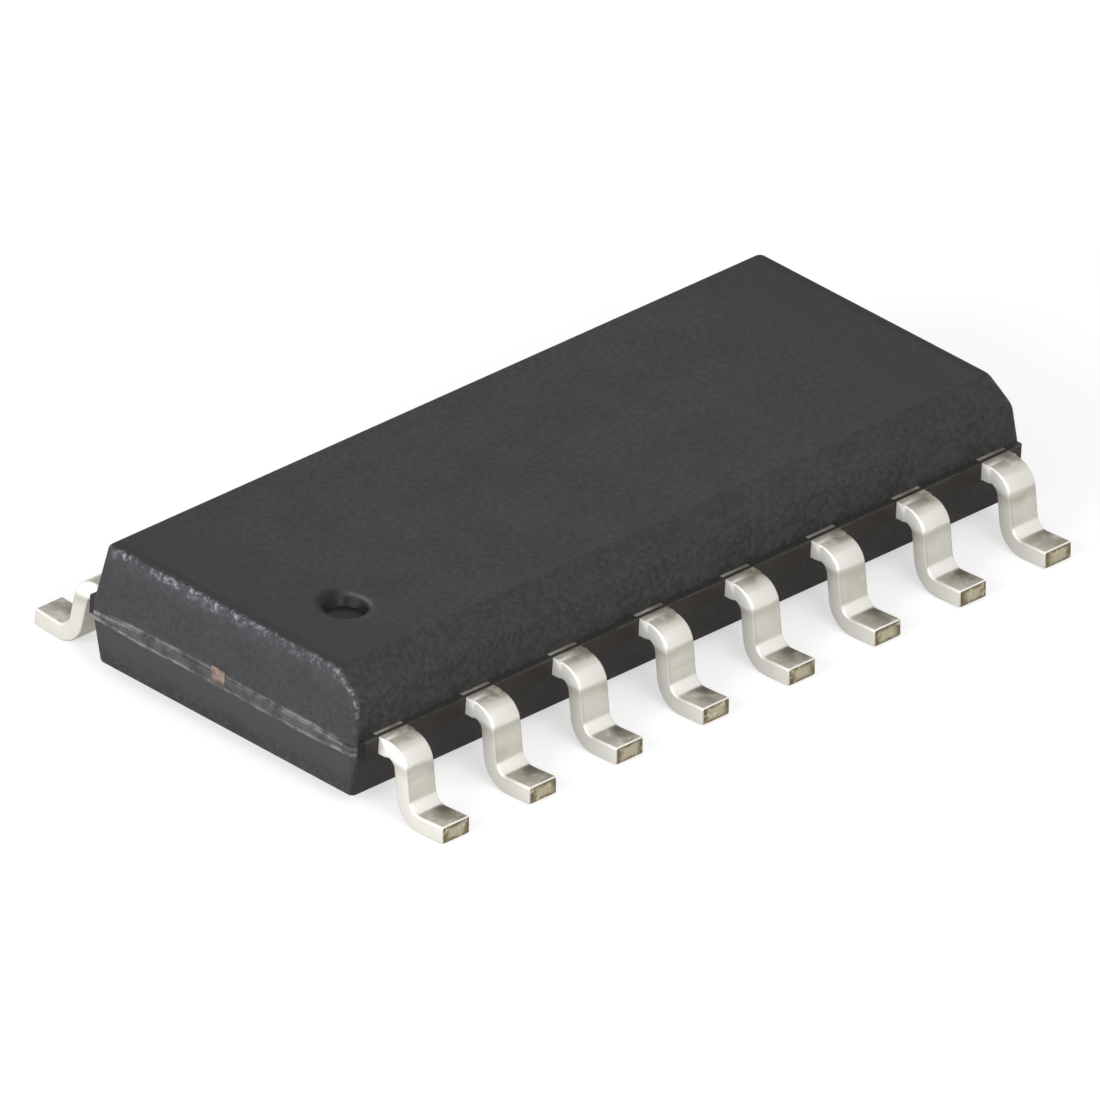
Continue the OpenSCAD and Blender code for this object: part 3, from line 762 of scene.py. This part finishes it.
# ---- Stage ----


def aim(thing, place, target, roll=0.0):
    """Stands a lamp or camera at a place and turns it to a target."""
    back = (Vector(place) - Vector(target)).normalized()
    right = Vector((0, 0, 1)).cross(back).normalized()
    up = back.cross(right)
    side = right * math.cos(roll) + up * math.sin(roll)
    top = up * math.cos(roll) - right * math.sin(roll)
    turned = Matrix((side, top, back)).transposed().to_4x4()
    thing.matrix_world = Matrix.Translation(place) @ turned


class CHIP_OT_stage(bpy.types.Operator):
    """Lay the floor, hang the soft lamps and stand the camera"""

    bl_idname = "chip.stage"
    bl_label = "Stage"

    def execute(self, context):
        settings = context.scene.chip_stage
        scene = context.scene
        scene.view_settings.view_transform = "Standard"
        bpy.ops.object.select_all(action="DESELECT")
        bpy.ops.mesh.primitive_plane_add(size=settings.floor, location=(0, 0, 0))
        floor = context.object
        floor.name = "studio_floor"
        floor.data.materials.append(studio_floor("matte_white_paper", 0.58))

        world = bpy.data.worlds.new("studio_light")
        scene.world = world
        world.use_nodes = True
        tree = world.node_tree
        tree.nodes.clear()
        rays = add(tree, "LightPath").outputs
        seen = maths(tree, "MAXIMUM", maths(tree, "MAXIMUM", rays["Is Camera Ray"], rays["Is Glossy Ray"]), rays["Is Transmission Ray"])
        strength = maths(tree, "ADD", settings.sky, maths(tree, "MULTIPLY", seen, 1.0 - settings.sky))
        backdrop = add(tree, "Background", Color=(1, 1, 1, 1), Strength=strength)
        output = add(tree, "OutputWorld")
        tree.links.new(backdrop.outputs[0], output.inputs["Surface"])

        lamps = (
            ("lamp_front", (-0.02, -0.07, 0.045), 0.05, 1.0),
            ("lamp_end", (-0.07, 0.0, 0.02), 0.05, 1.65),
        )
        for name, place, size, share in lamps:
            lamp = bpy.data.lights.new(name, "AREA")
            lamp.shape = "SQUARE"
            lamp.size = size
            lamp.energy = settings.lamp_power * share
            lamp_object = bpy.data.objects.new(name, lamp)
            scene.collection.objects.link(lamp_object)
            aim(lamp_object, place, (0, 0, 0.0008))

        camera = bpy.data.cameras.new("camera")
        camera.sensor_width = 36
        camera.lens = settings.lens / MM
        camera.clip_start, camera.clip_end = 0.05, 2.0
        camera_object = bpy.data.objects.new("camera", camera)
        scene.collection.objects.link(camera_object)
        azimuth, elevation, roll = (math.radians(a) for a in (-46.8634, 29.4199, 3.3483))
        target = Vector((-0.42859, -0.31276, 0.80398)) * MM
        back = Vector(
            (
                math.sin(azimuth) * math.cos(elevation),
                -math.cos(azimuth) * math.cos(elevation),
                math.sin(elevation),
            )
        )
        aim(camera_object, target + back * 420.552 * MM, target, roll)
        scene.camera = camera_object
        return {"FINISHED"}


# ---- Panel and registration ----


class CHIP_PT_panel(bpy.types.Panel):
    bl_label = "Small-outline chip"
    bl_idname = "CHIP_PT_panel"
    bl_space_type = "VIEW_3D"
    bl_region_type = "UI"
    bl_category = "Chip"

    def draw(self, context):
        for title, settings, operator in (
            ("Moulding", context.scene.chip_moulding, "chip.moulding"),
            ("Leads", context.scene.chip_leads, "chip.leads"),
            ("Inside", None, "chip.inside"),
            ("Stage", context.scene.chip_stage, "chip.stage"),
        ):
            box = self.layout.box()
            box.label(text=title)
            for key in settings.__annotations__ if settings else ():
                box.prop(settings, key)
            box.operator(operator)


SETTINGS = {"chip_moulding": MouldingSettings, "chip_leads": LeadSettings, "chip_stage": StageSettings}
OPERATORS = (CHIP_OT_moulding, CHIP_OT_leads, CHIP_OT_inside, CHIP_OT_stage)


def register():
    for c in (*SETTINGS.values(), *OPERATORS, CHIP_PT_panel):
        bpy.utils.register_class(c)
    for name, group in SETTINGS.items():
        setattr(bpy.types.Scene, name, PointerProperty(type=group))


def unregister():
    for name in SETTINGS:
        delattr(bpy.types.Scene, name)
    for c in (CHIP_PT_panel, *reversed(OPERATORS), *SETTINGS.values()):
        bpy.utils.unregister_class(c)


def main():
    register()
    bpy.ops.chip.moulding()
    bpy.ops.chip.leads()
    bpy.ops.chip.inside()
    bpy.ops.chip.stage()


if __name__ == "__main__":
    main()
